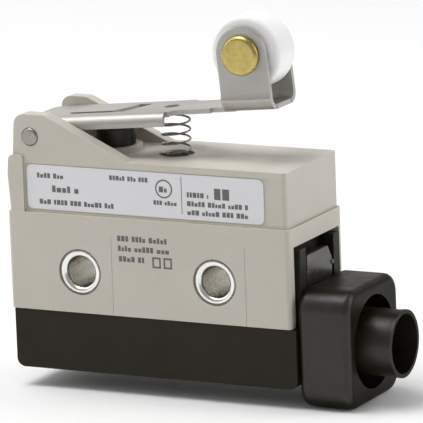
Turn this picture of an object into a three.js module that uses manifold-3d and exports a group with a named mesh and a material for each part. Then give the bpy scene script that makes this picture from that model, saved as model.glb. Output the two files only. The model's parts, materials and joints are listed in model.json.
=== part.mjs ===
// A sealed limit switch with a hinged roller lever.
//
// Units are millimetres, +Z up. The origin is on the mounting face (the back of the case), midway
// between the two mounting holes. +X runs along the case towards the cable inlet, and the body
// fills -Y in front of the mounting face.

import * as THREE from 'three';
import { mergeVertices } from 'three/addons/utils/BufferGeometryUtils.js';
import ManifoldModule from 'manifold-3d';

const wasm = await ManifoldModule();
wasm.setup();

// ---------------------------------------------------------------------------------------------
// Driving dimensions
// ---------------------------------------------------------------------------------------------

const DEPTH = 20.5; // thickness of the case, mounting face to front face
const MID = -DEPTH / 2; // the middle plane of the switch
const HOLE_PITCH = 25.4; // between the mounting hole centres
const SLEEVE_X = [-HOLE_PITCH / 2, HOLE_PITCH / 2];
const GAP = 0.1; // clearance between pieces that rest on each other
const CASE = { x0: -26.2, x1: 26.7, z0: -7.05, z1: 9.8, wall: 1.6, corner: 0.8 };
const HOUSING = {
  x0: -24.9, x1: 26.2, inset: 0.5, backInset: 0.1, z1: 19.3, wall: 1.5, roof: 1.6, corner: 0.8,
};
const EAR = { gap: 14.0, z: 26.5, x0: -24.4, slopeTop: -18.7, slopeFoot: -3.4, round: 1.9, backTrim: 0.8 };
const PIVOT = { x: -21.5, z: 22.7, pin: 1.5, running: 0.07 };
const COVER = { x0: -25.6, x1: 27.4, inset: 0.15, z0: -17.3, z1: CASE.z0 - GAP, wall: 1.4, endWall: 24.6 };
const INLET = {
  z: -10.5, bore: 4.6, nozzle: 5.75, mouth: 5.1, mouthDepth: 10.5, root: 6.5, tip: 42.5,
  recess: 7.95, recessDepth: 5.8,
};
const BOOT = { x0: 27.5, x1: 37.0, half: 9.9, z0: -20.6, z1: -0.4, corner: 3.6 };
const END_FRAME = { x0: 24.5, x1: 27.4, half: 7.6, z0: -6.0, z1: 6.0 };
const BACK_PLATE = { x0: 23.9, x1: 24.7, half: 8.3, z1: 6.4 };
const LEVER = { rise: THREE.MathUtils.degToRad(5.5), sheet: 0.8, top: 2.5, half: 6.85 };
const ROLLER = { u: 39.05, w: 11.24, r: 6.35, half: 3.35, bore: 2.06 };
const PLUNGER_X = -10.35;
const SPRING_X = 1.3;
const SWITCH = { x0: -23.3, x1: 22.2, half: 8.05, z0: -6.6, split: 4.2, z1: 10.6 };
const TERMINAL_X = { com: -18.4, no: 0.8, nc: 17.2 };

// ---------------------------------------------------------------------------------------------
// Materials
// ---------------------------------------------------------------------------------------------

function material(color, roughness, metalness) {
  return new THREE.MeshStandardMaterial({ color, roughness, metalness });
}

const MATERIALS = {
  casePlastic: material(0xbab2a8, 0.55, 0.0),
  blackPlastic: material(0x302b26, 0.5, 0.0),
  rubber: material(0x2b2824, 0.7, 0.0),
  phenolic: material(0x3a2f28, 0.6, 0.0),
  stainless: material(0xc8c4be, 0.3, 1.0),
  tinned: material(0xd8d8d4, 0.25, 1.0),
  brass: material(0xb9aa5a, 0.3, 1.0),
  silver: material(0xdcdad6, 0.2, 1.0),
  nylon: material(0xeeeeec, 0.4, 0.0),
  acetal: material(0xe2ded4, 0.45, 0.0),
  label: material(0xc8c8cd, 0.35, 0.0),
};

// ---------------------------------------------------------------------------------------------
// Solids
// ---------------------------------------------------------------------------------------------

// The signed volume of a triangle mesh: negative when its faces point in.
function signedVolume(positions, triangles) {
  let volume = 0;
  const corners = [new THREE.Vector3(), new THREE.Vector3(), new THREE.Vector3()];
  for (let i = 0; i < triangles.length; i += 3) {
    corners.forEach((corner, k) => corner.fromArray(positions, triangles[i + k] * 3));
    volume += corners[0].dot(corners[1].clone().cross(corners[2])) / 6;
  }
  return volume;
}

// Turns a closed geometry into a solid whose faces point out.
function solid(geometry) {
  const bare = geometry.clone();
  bare.deleteAttribute('normal');
  bare.deleteAttribute('uv');
  const merged = mergeVertices(bare, 1e-4);
  const positions = merged.getAttribute('position').array;
  const triangles = [];
  const index = merged.getIndex().array;
  for (let i = 0; i < index.length; i += 3) {
    const [a, b, c] = [index[i], index[i + 1], index[i + 2]];
    if (a !== b && b !== c && c !== a) triangles.push(a, b, c);
  }
  if (signedVolume(positions, triangles) < 0) triangles.reverse();
  return new wasm.Manifold(
    new wasm.Mesh({
      numProp: 3,
      vertProperties: new Float32Array(positions),
      triVerts: new Uint32Array(triangles),
    }),
  );
}

function union(...solids) {
  return solids.reduce((sum, next) => sum.add(next));
}

function cut(body, ...tools) {
  return tools.reduce((left, tool) => left.subtract(tool), body);
}

function box(x0, x1, y0, y1, z0, z1) {
  const geometry = new THREE.BoxGeometry(x1 - x0, y1 - y0, z1 - z0);
  return solid(geometry.translate((x0 + x1) / 2, (y0 + y1) / 2, (z0 + z1) / 2));
}

// Round bars along each axis. CylinderGeometry lies along Y.
function barY(r, y0, y1, x, z, sides = 32) {
  const geometry = new THREE.CylinderGeometry(r, r, y1 - y0, sides);
  return solid(geometry.translate(x, (y0 + y1) / 2, z));
}

function barX(r, x0, x1, y, z, sides = 40) {
  const geometry = new THREE.CylinderGeometry(r, r, x1 - x0, sides);
  return solid(geometry.rotateZ(Math.PI / 2).translate((x0 + x1) / 2, y, z));
}

function barZ(r, z0, z1, x, y, sides = 24) {
  const geometry = new THREE.CylinderGeometry(r, r, z1 - z0, sides);
  return solid(geometry.rotateX(Math.PI / 2).translate(x, y, (z0 + z1) / 2));
}

// A solid of revolution about a vertical axis, from [radius, height] points.
function turnedZ(points, x, y, sides = 20) {
  const profile = points.map(([r, h]) => new THREE.Vector2(r, h));
  const geometry = new THREE.LatheGeometry(profile, sides);
  return solid(geometry.rotateX(Math.PI / 2).translate(x, y, 0));
}

// A solid of revolution about an axis along Y, from [radius, y] points.
function turnedY(points, x, z, sides = 32) {
  const profile = points.map(([r, h]) => new THREE.Vector2(r, h));
  return solid(new THREE.LatheGeometry(profile, sides).translate(x, 0, z));
}

function extrude(shape, depth, curveSegments = 6) {
  return new THREE.ExtrudeGeometry(shape, { depth, bevelEnabled: false, curveSegments });
}

// A rectangle with round corners, as a shape in its own two coordinates.
function roundedRect(a0, a1, b0, b1, r) {
  const shape = new THREE.Shape();
  shape.moveTo(a0 + r, b0);
  shape.lineTo(a1 - r, b0);
  shape.absarc(a1 - r, b0 + r, r, -Math.PI / 2, 0, false);
  shape.lineTo(a1, b1 - r);
  shape.absarc(a1 - r, b1 - r, r, 0, Math.PI / 2, false);
  shape.lineTo(a0 + r, b1);
  shape.absarc(a0 + r, b1 - r, r, Math.PI / 2, Math.PI, false);
  shape.lineTo(a0, b0 + r);
  shape.absarc(a0 + r, b0 + r, r, Math.PI, Math.PI * 1.5, false);
  return shape;
}

// Prisms: a shape in (x, y) raised along Z, in (x, z) along Y, or in (y, z) along X.
function prismZ(shape, z0, z1) {
  return solid(extrude(shape, z1 - z0).translate(0, 0, z0));
}

function prismY(shape, y0, y1) {
  return solid(extrude(shape, y1 - y0).rotateX(Math.PI / 2).translate(0, y1, 0));
}

function prismX(shape, x0, x1) {
  const turn = new THREE.Matrix4().set(0, 0, 1, x0, 1, 0, 0, 0, 0, 1, 0, 0, 0, 0, 0, 1);
  return solid(extrude(shape, x1 - x0).applyMatrix4(turn));
}

// A coil about a vertical axis. Its first turn lies closed, and the others rise at an even pitch.
class CoilCurve extends THREE.Curve {
  constructor(radius, wire, z0, z1, turns) {
    super();
    Object.assign(this, { radius, wire, z0, z1, turns });
  }

  getPoint(t, target = new THREE.Vector3()) {
    const turn = t * this.turns;
    const angle = turn * 2 * Math.PI;
    const closed = 2.2 * this.wire;
    const pitch = (this.z1 - this.z0 - closed) / (this.turns - 1);
    const height = this.z0 + closed * Math.min(turn, 1) + pitch * Math.max(turn - 1, 0);
    return target.set(this.radius * Math.cos(angle), this.radius * Math.sin(angle), height);
  }
}

function coil({ x, y, radius, wire, z0, z1, turns, stepsPerTurn, sides }) {
  const section = new THREE.Shape();
  for (let i = 0; i < sides; i += 1) {
    const angle = (i / sides) * 2 * Math.PI;
    const [a, b] = [wire * Math.cos(angle), wire * Math.sin(angle)];
    if (i === 0) section.moveTo(a, b);
    else section.lineTo(a, b);
  }
  const geometry = new THREE.ExtrudeGeometry(section, {
    steps: Math.round(turns * stepsPerTurn),
    extrudePath: new CoilCurve(radius, wire, z0 + wire, z1 - wire, turns),
    bevelEnabled: false,
  });
  return solid(geometry.translate(x, y, 0));
}

const assembly = new THREE.Group();

// Adds one piece to the assembly, or to a group inside it.
function piece(name, body, finish, parent = assembly) {
  const { vertProperties, triVerts } = body.getMesh();
  const geometry = new THREE.BufferGeometry();
  geometry.setAttribute('position', new THREE.BufferAttribute(vertProperties, 3));
  geometry.setIndex(new THREE.BufferAttribute(triVerts, 1));
  geometry.computeVertexNormals();
  const mesh = new THREE.Mesh(geometry, finish);
  mesh.name = name;
  parent.add(mesh);
}

// ---------------------------------------------------------------------------------------------
// Case and upper housing
// ---------------------------------------------------------------------------------------------

const SLEEVE = { bore: 2.6, tube: 3.1, flange: 3.65, seat: 4.0, depth: 0.8, sink: 0.15, lip: 0.35 };
const FRONT = -DEPTH;
const CHAMBER = { x0: -24.3, x1: 22.6 };
const POCKET = { x0: 23.8, front: 1.8, back: 1.3, top: 6.6 }; // opening for the cover's end frame
const SEAL = { x0: -24.8, x1: 26.1, side: 0.65, width: 0.6, floor: 9.15, slack: 0.05 };
const LABEL = { x0: -22.4, x1: 22.15, z0: 10.35, z1: 18.0, corner: 1.1, sheet: 0.12, recess: 0.15 };
const SEAT = { x0: -22.6, x1: 23.5, z0: 10.15, z1: 18.2 }; // shallow recess that the label lies in
const WELL = { r: 3.0, wall: 1.2, z0: 13.4, floor: 14.6 };
const STEM_HOLE = 2.5;
const BOSS = { r: 4.6, z1: 20.25 }; // round seat of the plunger's rubber cap
const BAND = { x0: -25.85, x1: -22.9, z1: 19.5, side: 0.05 };

// A frame-shaped ring in the (x, y) plane.
function ring(x0, x1, y0, y1, width, z0, z1) {
  const outer = prismZ(roundedRect(x0, x1, y0, y1, 0.6), z0, z1);
  const inner = box(x0 + width, x1 - width, y0 + width, y1 - width, z0 - 1, z1 + 1);
  return cut(outer, inner);
}

function lowerCase() {
  const { x0, x1, z0, z1, wall, corner } = CASE;
  const shell = prismZ(roundedRect(x0, x1, FRONT, 0, corner), z0, z1);
  const chamber = box(CHAMBER.x0, CHAMBER.x1, FRONT + wall, -wall, z0 - 1, z1 + 1);
  const pocket = box(POCKET.x0, x1 + 1, FRONT + POCKET.front, -POCKET.back, z0 - 1, POCKET.top);
  const { side, width, floor } = SEAL;
  const sealGroove = ring(SEAL.x0, SEAL.x1, FRONT + side, -side, width, floor, z1 + 1);
  const bores = SLEEVE_X.flatMap((x) => [
    barY(SLEEVE.tube + GAP, FRONT - 1, 1, x, 0),
    barY(SLEEVE.seat, FRONT - 1, FRONT + SLEEVE.depth, x, 0),
    barY(SLEEVE.seat, -SLEEVE.depth, 1, x, 0),
  ]);
  return cut(shell, chamber, pocket, sealGroove, ...bores);
}

// An eyelet: a tube with a flange at each end, flush in the case's front and back recesses.
function mountingSleeve(x) {
  const { bore, tube, flange, depth, sink, lip } = SLEEVE;
  const inner = depth - GAP;
  return turnedY(
    [
      [bore + lip, FRONT + sink],
      [flange, FRONT + sink],
      [flange, FRONT + inner],
      [tube, FRONT + inner],
      [tube, -inner],
      [flange, -inner],
      [flange, -sink],
      [bore + lip, -sink],
      [bore, -sink - lip],
      [bore, FRONT + sink + lip],
      [bore + lip, FRONT + sink],
    ],
    x,
    0,
  );
}

// The side view of a hinge ear, from the deck up. The back ear is a little narrower at the top.
function earShape(trim) {
  const { z, slopeFoot, round } = EAR;
  const x0 = EAR.x0 + trim / 3;
  const slopeTop = EAR.slopeTop - trim;
  const deck = HOUSING.z1 - 1;
  const shape = new THREE.Shape();
  shape.moveTo(HOUSING.x0, deck);
  shape.lineTo(slopeFoot, deck);
  shape.lineTo(slopeFoot, HOUSING.z1);
  shape.lineTo(slopeTop + 0.9, z - 0.45);
  shape.quadraticCurveTo(slopeTop, z, slopeTop - 1.0, z);
  shape.lineTo(x0 + round, z);
  shape.absarc(x0 + round, z - round, round, Math.PI / 2, Math.PI, false);
  shape.lineTo(HOUSING.x0, HOUSING.z1);
  return shape;
}

// The raised band that wraps the left end, bowed outwards.
function endBandShape(z0) {
  const { x0, x1, z1 } = BAND;
  const shape = new THREE.Shape();
  shape.moveTo(x1, z0);
  shape.lineTo(x1, z1 - 0.4);
  shape.lineTo(x1 - 0.3, z1);
  shape.lineTo(x0 + 0.75, z1);
  shape.quadraticCurveTo(x0 + 0.15, z1 - 0.5, x0, z1 - 3.3);
  shape.quadraticCurveTo(x0 + 0.05, z1 - 6.5, x0 + 0.45, z0);
  return shape;
}

function upperHousing() {
  const y0 = FRONT + HOUSING.inset;
  const y1 = -HOUSING.backInset;
  const z0 = CASE.z1 + GAP;
  const { x0, x1, z1, wall, roof, corner } = HOUSING;
  const block = prismZ(roundedRect(x0, x1, y0, y1, corner), z0, z1);
  const ears = [
    prismY(earShape(0), y0, MID - EAR.gap / 2),
    prismY(earShape(EAR.backTrim), MID + EAR.gap / 2, y1),
  ];
  const endBand = prismY(endBandShape(z0), FRONT + BAND.side, -BAND.side);
  const well = barZ(WELL.r + WELL.wall, WELL.z0, z1 - 0.5, SPRING_X, MID);
  const boss = barZ(BOSS.r, z1 - 1, BOSS.z1, PLUNGER_X, MID, 32);
  const chamber = box(x0 + wall, x1 - wall, y0 + wall, y1 - wall, z0 - 1, z1 - roof);
  const shell = cut(union(block, ...ears, endBand, boss), chamber);
  const labelSeat = box(SEAT.x0, SEAT.x1, FRONT, y0 + LABEL.recess, SEAT.z0, SEAT.z1);
  return cut(
    union(shell, well),
    barZ(WELL.r, WELL.floor, z1 + 1, SPRING_X, MID),
    barZ(STEM_HOLE, z1 - roof - 1, BOSS.z1 + 1, PLUNGER_X, MID),
    barY(PIVOT.pin + PIVOT.running, FRONT - 1, 1, PIVOT.x, PIVOT.z),
    labelSeat,
  );
}

function nameplate() {
  const { x0, x1, z0, z1, corner, sheet } = LABEL;
  const y0 = FRONT + HOUSING.inset;
  return prismY(roundedRect(x0, x1, z0, z1, corner), y0, y0 + sheet);
}

function bodyGasket() {
  const { x0, x1, side, width, floor, slack } = SEAL;
  const inset = side + slack;
  const z1 = CASE.z1 + slack;
  return ring(x0 + slack, x1 - slack, FRONT + inset, -inset, width - 2 * slack, floor + slack, z1);
}

// ---------------------------------------------------------------------------------------------
// Terminal cover, latch and cable boot
// ---------------------------------------------------------------------------------------------

const PLINTH = { x0: 27.0, x1: 30.4, half: 6.2, z0: -16.4, z1: -4.6 };
const END_BLOCK = { lift: 0.4, z1: -5.0 }; // closes the cover's end and carries the end frame
const LATCH = { x0: 26.2, x1: 27.3, half: 4.75, z0: -4.3, z1: 4.5, slit: 0.6, chamfer: [1.5, 2.2] };
const CATCH = { inset: 0.3, proud: 0.2, half: 0.4, z0: 1.1, z1: 1.8 };

function terminalCover() {
  const y0 = FRONT + COVER.inset;
  const y1 = -COVER.inset;
  const { x0, x1, z0, z1, wall, endWall } = COVER;
  const { half } = END_FRAME;
  const tray = prismY(roundedRect(x0, x1, z0, z1 + 4, 1.5), y0, y1);
  const trimmed = cut(tray, box(x0 - 1, x1 + 1, y0 - 1, y1 + 1, z1, z1 + 6));
  const chamber = box(x0 + wall, endWall, y0 + wall, y1 - wall, z0 + wall, z1 + 1);
  const endBlock = box(endWall, x1, MID - half, MID + half, z0 + END_BLOCK.lift, END_BLOCK.z1);
  const frame = box(END_FRAME.x0, END_FRAME.x1, MID - half, MID + half, END_FRAME.z0, END_FRAME.z1);
  const backPlate = box(
    BACK_PLATE.x0, BACK_PLATE.x1, MID - BACK_PLATE.half, MID + BACK_PLATE.half, END_FRAME.z0, BACK_PLATE.z1,
  );
  const plinth = box(PLINTH.x0, PLINTH.x1, MID - PLINTH.half, MID + PLINTH.half, PLINTH.z0, PLINTH.z1);
  const window = LATCH.half + LATCH.slit;
  const latchWindow = box(
    BACK_PLATE.x1, END_FRAME.x1 + 1, MID - window, MID + window, LATCH.z0 - 0.3, END_FRAME.z1 + 1,
  );
  const inlet = barX(INLET.bore, 20, 32, MID, INLET.z);
  return cut(union(cut(trimmed, chamber), endBlock, cut(frame, latchWindow), backPlate, plinth), inlet);
}

// The release tongue in the end frame, with a catch on each side and a chamfered top corner.
function coverLatch() {
  const { x0, x1, half, z0, z1, chamfer } = LATCH;
  const outline = new THREE.Shape();
  outline.moveTo(MID - half, z0);
  outline.lineTo(MID + half, z0);
  outline.lineTo(MID + half, z1 - chamfer[1]);
  outline.lineTo(MID + half - chamfer[0], z1);
  outline.lineTo(MID - half, z1);
  const catches = [-1, 1].map((side) => {
    const y = MID + side * half;
    return box(x0 + CATCH.inset, x1 + CATCH.proud, y - CATCH.half, y + CATCH.half, CATCH.z0, CATCH.z1);
  });
  return union(prismX(outline, x0, x1), ...catches);
}

// A block with a round recess in its end, and in the recess a nozzle that grips the cable.
function cableBoot() {
  const { x0, x1, half, z0, z1, corner } = BOOT;
  const { z, bore, nozzle, mouth, mouthDepth, recess, recessDepth, root, tip } = INLET;
  const block = prismX(roundedRect(MID - half, MID + half, z0, z1, corner), x0, x1);
  const hollow = barX(recess, x1 - recessDepth, x1 + 1, MID, z);
  const spout = barX(nozzle, x1 - root, tip, MID, z);
  const clear = 0.2;
  const side = PLINTH.half + clear;
  const socket = box(x0 - 1, PLINTH.x1 + clear, MID - side, MID + side, PLINTH.z0 - clear, PLINTH.z1 + clear);
  return cut(
    union(cut(block, hollow), spout),
    socket,
    barX(bore, x0 - 1, tip + 1, MID, z),
    barX(mouth, tip - mouthDepth, tip + 1, MID, z),
  );
}

function coverGasket() {
  const z1 = COVER.z1;
  return ring(-23.9, 24.4, FRONT + 1.7, -1.7, 1.0, z1 - 1.0, z1 - 0.02);
}

// ---------------------------------------------------------------------------------------------
// Lever, roller and pivot. The lever is drawn flat in its own frame: u along the sheet from the
// pivot, y across it, w up from the sheet. A group then raises it by its rest angle.
// ---------------------------------------------------------------------------------------------

const CHANNEL = { u0: -2.4, u1: 24.0, foot: 0.2, bend: 1.3 };
const STRIP = { half: 4.3, neck: 3.6, neckU0: 31.9, neckU1: 34.45 };
const FORK = { u0: 34.45, u1: 43.65, half: 4.7, bend: 2.0 };
const TONGUE = { u0: 4.6, tip: 14.9, slotEnd: 17.2, half: 2.35, slot: 2.6, droop: 0.115 };

// A channel in (y, w) with rounded outer and inner bends. Legs run from the web to legEnd.
function channelShape(half, web, legEnd, bend, sheet) {
  const side = Math.sign(legEnd - web);
  const steps = 8;
  const bendPoint = (sign, radius, turn) => new THREE.Vector2(
    sign * (half - bend + radius * Math.sin(turn)),
    web + side * (bend - radius * Math.cos(turn)),
  );
  const quarter = (sign, radius, opens) => Array.from({ length: steps + 1 }, (_, i) => {
    const part = opens ? i / steps : 1 - i / steps;
    return bendPoint(sign, radius, (Math.PI / 2) * part);
  });
  return new THREE.Shape([
    ...quarter(-1, bend, false),
    ...quarter(1, bend, true),
    new THREE.Vector2(half, legEnd),
    new THREE.Vector2(half - sheet, legEnd),
    ...quarter(1, bend - sheet, false),
    ...quarter(-1, bend - sheet, true),
    new THREE.Vector2(-half + sheet, legEnd),
    new THREE.Vector2(-half, legEnd),
  ]);
}

function leverChannel() {
  const { top, half, sheet } = LEVER;
  const { u0, u1, foot, bend } = CHANNEL;
  const rail = prismX(channelShape(half, top, foot, bend, sheet), u0 + 1.2, u1);
  const heel = prismZ(roundedRect(u0, u0 + 6, 1.0 - half, half - 1.0, 1.6), top - sheet, top);
  const lobes = [-1, 1].map((side) => {
    const [y0, y1] = [side * half, side * (half - sheet)].sort((a, b) => a - b);
    return barY(2.4, y0, y1, 0, 0);
  });
  return union(rail, heel, ...lobes);
}

function leverStrip() {
  const { top, sheet } = LEVER;
  const { half, neck, neckU0, neckU1 } = STRIP;
  const { u1 } = CHANNEL;
  const outline = new THREE.Shape();
  const edge = [
    [u1 - 1, 5.4],
    [u1 + 0.6, 5.4],
    [u1 + 1.2, 5.1],
    [u1 + 1.6, half],
    [neckU0, half],
    [neckU0, neck],
    [neckU1 + 2, neck],
  ];
  const mirrored = edge.map(([u, y]) => [u, -y]).reverse();
  outline.setFromPoints([...edge, ...mirrored].map(([u, y]) => new THREE.Vector2(u, y)));
  return prismZ(outline, top - sheet, top);
}

function leverFork() {
  const { top, sheet } = LEVER;
  const { u0, u1, half, bend } = FORK;
  const web = top - sheet;
  const channel = prismX(channelShape(half, web, ROLLER.w + 8, bend, sheet), u0, u1);
  const outline = new THREE.Shape();
  outline.moveTo(u0, web - 1);
  outline.lineTo(u1, web - 1);
  outline.lineTo(u1, ROLLER.w);
  outline.absarc((u0 + u1) / 2, ROLLER.w, (u1 - u0) / 2, 0, Math.PI, false);
  outline.lineTo(u0, web - 1);
  return channel.intersect(prismY(outline, -half - 1, half + 1));
}

// The tongue lanced out of the sheet, bent down to bear on the plunger.
function leverTongue() {
  const { top, sheet } = LEVER;
  const { u0, tip, half, droop } = TONGUE;
  const length = tip - u0 + 0.5;
  const strip = new THREE.BoxGeometry(length, 2 * half, sheet);
  strip.translate(length / 2 - 0.5, 0, -sheet / 2);
  strip.rotateY(droop).translate(u0, 0, top);
  return solid(strip);
}

function lever() {
  const { top, sheet } = LEVER;
  const { u0, slotEnd, slot } = TONGUE;
  const sheetMetal = cut(
    union(leverChannel(), leverStrip(), leverFork()),
    box(u0, slotEnd, -slot, slot, top - sheet - 1, top + 1),
    barZ(1.3, top - sheet - 1, top + 1, 22.5, 0),
    barY(PIVOT.pin + PIVOT.running, -LEVER.half - 1, LEVER.half + 1, 0, 0),
    barY(ROLLER.bore, -6, 6, ROLLER.u, ROLLER.w),
  );
  return union(sheetMetal, leverTongue());
}

function roller() {
  const { u, w, r, half, bore } = ROLLER;
  const round = 0.7;
  return turnedY(
    [
      [bore, -half],
      [r - round, -half],
      [r - round * 0.3, -half + round * 0.3],
      [r, -half + round],
      [r, half - round],
      [r - round * 0.3, half - round * 0.3],
      [r - round, half],
      [bore, half],
      [bore, -half],
    ],
    u,
    w,
    48,
  );
}

// The roller's axle: a rivet with a broad head on the front and a formed head behind.
function rollerRivet() {
  const seat = FORK.half + 0.05;
  return turnedY(
    [
      [0, -seat - 1.0],
      [2.7, -seat - 1.0],
      [3.15, -seat - 0.75],
      [3.35, -seat - 0.3],
      [3.35, -seat],
      [2.0, -seat],
      [2.0, seat],
      [3.0, seat],
      [3.0, seat + 0.5],
      [2.4, seat + 0.9],
      [0, seat + 0.9],
    ],
    ROLLER.u,
    ROLLER.w,
  );
}

function hingePin() {
  const y0 = FRONT + HOUSING.inset - 0.3;
  const y1 = -HOUSING.inset + 0.3;
  return turnedY(
    [
      [0, y0],
      [1.1, y0],
      [PIVOT.pin, y0 + 0.3],
      [PIVOT.pin, y1 - 0.3],
      [1.1, y1],
      [0, y1],
    ],
    PIVOT.x,
    PIVOT.z,
    24,
  );
}

// ---------------------------------------------------------------------------------------------
// Springs, plunger and its rubber cap
// ---------------------------------------------------------------------------------------------

const ROOF = HOUSING.z1 - HOUSING.roof;
const CAP = { r: 3.45, inner: 2.75, z0: BOSS.z1 + 0.05, shoulder: 23.4, top: 24.6, roof: 23.3 };
const STEM = {
  r: 2.2, z1: 23.2, springBore: 1.8, springRoof: 22.0, cup: 4.2, cupBore: 3.2, cupZ0: 13.2, cupRoof: 16.6,
};

function returnSpring() {
  return coil({
    x: SPRING_X, y: MID, radius: 2.4, wire: 0.18, z0: 14.7, z1: 26.3, turns: 7.75, stepsPerTurn: 12, sides: 5,
  });
}

// The rubber cap over the plunger's stem, with a domed top.
function plungerCap() {
  const { r, inner, z0, shoulder, top, roof } = CAP;
  const steps = 6;
  const dome = Array.from({ length: steps + 1 }, (_, i) => {
    const across = 1 - i / steps;
    return [r * across, top - (top - shoulder) * across * across];
  });
  const points = [[inner, z0], [r, z0], ...dome, [0, roof], [inner, roof], [inner, z0]];
  return turnedZ(points, PLUNGER_X, MID, 32);
}

// A stem with a cup below the deck. The cup holds the pusher and the stem the overtravel spring.
function plunger() {
  const { r, z1, springBore, springRoof, cup, cupBore, cupZ0, cupRoof } = STEM;
  const points = [
    [0, z1],
    [r - 0.3, z1],
    [r, z1 - 0.3],
    [r, ROOF - GAP],
    [cup, ROOF - GAP],
    [cup, cupZ0],
    [cupBore, cupZ0],
    [cupBore, cupRoof],
    [springBore, cupRoof],
    [springBore, springRoof],
    [0, springRoof],
  ];
  return turnedZ(points, PLUNGER_X, MID);
}

function pusher() {
  const points = [
    [0, 11.9],
    [1.5, 11.9],
    [1.5, 13.6],
    [3.0, 13.6],
    [3.0, 14.6],
    [0, 14.6],
  ];
  return turnedZ(points, PLUNGER_X, MID);
}

function overtravelSpring() {
  return coil({
    x: PLUNGER_X, y: MID, radius: 1.35, wire: 0.2, z0: 14.7, z1: 21.9, turns: 6, stepsPerTurn: 9, sides: 4,
  });
}

// ---------------------------------------------------------------------------------------------
// The built-in snap-action switch
// ---------------------------------------------------------------------------------------------

const CONTACT = { x: 17.0, r: 1.8, stem: 1.0 };
const BLADE = { z0: 7.0, z1: 7.3, x0: -21.9, x1: 19.0, half: 2.2 };
const STRAP_HALF = 2.5;
const TAB = { z0: -7.5, z1: -6.8, half: 4.0, width: 7.6 };
const LEG_X = { com: [-22.5, -21.8], no: [-4.2, -3.5], nc: [20.6, 21.3] };
const SCREW = { r: 1.95, hole: 2.15, tip: -3.9, head: 3.4, headZ0: -10.8, headZ1: -8.4 };

function switchHalf(z0, z1) {
  return box(SWITCH.x0, SWITCH.x1, MID - SWITCH.half, MID + SWITCH.half, z0, z1);
}

function switchBase() {
  const block = switchHalf(SWITCH.z0, SWITCH.split);
  const sleeveHoles = SLEEVE_X.map((x) => barY(SLEEVE.tube + GAP, FRONT, 0, x, 0));
  const screwHoles = Object.values(TERMINAL_X).map((x) => barZ(2.3, SWITCH.z0 - 1, -3.6, x, MID));
  const legSlots = Object.values(LEG_X).map(([x0, x1]) =>
    box(x0 - 0.15, x1 + 0.15, MID - STRAP_HALF - 0.15, MID + STRAP_HALF + 0.15, SWITCH.z0 - 1, 6),
  );
  return cut(block, ...sleeveHoles, ...screwHoles, ...legSlots);
}

function switchLid() {
  const z0 = SWITCH.split + 0.15;
  const chamber = box(
    SWITCH.x0 + 0.7, SWITCH.x1 - 0.7, MID - SWITCH.half + 1.2, MID + SWITCH.half - 1.2, z0 - 1, 9.4,
  );
  return cut(switchHalf(z0, SWITCH.z1), chamber, barZ(1.6, 9, 12, PLUNGER_X, MID));
}

function switchPin() {
  const points = [
    [0, 7.6],
    [2.4, 7.6],
    [2.4, 8.5],
    [1.5, 8.5],
    [1.5, 11.3],
    [1.2, 11.6],
    [0, 11.6],
  ];
  return turnedZ(points, PLUNGER_X, MID);
}

// The blade has a long window, like the spring strip it stands for.
function snapBlade() {
  const { x0, x1, half, z0, z1 } = BLADE;
  return cut(
    box(x0, x1, MID - half, MID + half, z0, z1),
    box(-8, 8, MID - 1, MID + 1, z0 - 1, z1 + 1),
    barZ(CONTACT.stem + GAP, z0 - 1, z1 + 1, CONTACT.x, MID),
  );
}

function movingContact() {
  const { r, stem, x } = CONTACT;
  const points = [
    [0, 6.55],
    [r, 6.55],
    [r, BLADE.z0 - 0.05],
    [stem, BLADE.z0 - 0.05],
    [stem, BLADE.z1 + 0.05],
    [r, BLADE.z1 + 0.05],
    [r, 7.9],
    [0, 7.9],
  ];
  return turnedZ(points, x, MID);
}

function contactDisc(z0, z1) {
  return barZ(CONTACT.r, z0, z1, CONTACT.x, MID);
}

// A terminal: a leg through the base, an optional arm in the switch chamber and a screw tab below.
function terminal(name, legTop, arm) {
  const x = TERMINAL_X[name];
  const [x0, x1] = LEG_X[name];
  const y0 = MID - STRAP_HALF;
  const y1 = MID + STRAP_HALF;
  const tabX0 = Math.min(x0, x - TAB.half);
  const tabX1 = Math.max(x1, x + TAB.half);
  const tab = box(tabX0, tabX1, MID - TAB.width / 2, MID + TAB.width / 2, TAB.z0, TAB.z1);
  const parts = [box(x0, x1, y0, y1, TAB.z1 - 0.3, legTop), tab];
  if (arm) parts.push(box(arm.x0, arm.x1, y0, y1, arm.z0, arm.z1));
  return cut(union(...parts), barZ(SCREW.hole, TAB.z0 - 1, TAB.z1 + 0.2, x, MID));
}

function terminalWasher(x) {
  return cut(
    barZ(3.7, TAB.z0 - 0.8, TAB.z0 - 0.05, x, MID),
    barZ(SCREW.hole, TAB.z0 - 2, TAB.z0 + 1, x, MID),
  );
}

function terminalScrew(x) {
  const { r, tip, head, headZ0, headZ1 } = SCREW;
  const points = [
    [0, headZ0],
    [head - 0.6, headZ0],
    [head, headZ0 + 0.6],
    [head, headZ1],
    [r, headZ1],
    [r, tip - 0.4],
    [r - 0.4, tip],
    [0, tip],
  ];
  const slot = box(x - 5, x + 5, MID - 0.5, MID + 0.5, headZ0 - 1, headZ0 + 1.1);
  return cut(turnedZ(points, x, MID), slot);
}

// ---------------------------------------------------------------------------------------------
// Assembly
// ---------------------------------------------------------------------------------------------

const M = MATERIALS;

piece('lower_case', lowerCase(), M.casePlastic);
piece('upper_housing', upperHousing(), M.casePlastic);
piece('nameplate', nameplate(), M.label);
piece('body_gasket', bodyGasket(), M.rubber);
piece('mounting_sleeve_left', mountingSleeve(SLEEVE_X[0]), M.tinned);
piece('mounting_sleeve_right', mountingSleeve(SLEEVE_X[1]), M.tinned);
piece('terminal_cover', terminalCover(), M.blackPlastic);
piece('cover_latch', coverLatch(), M.blackPlastic);
piece('cover_gasket', coverGasket(), M.rubber);
piece('cable_boot', cableBoot(), M.rubber);

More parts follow.
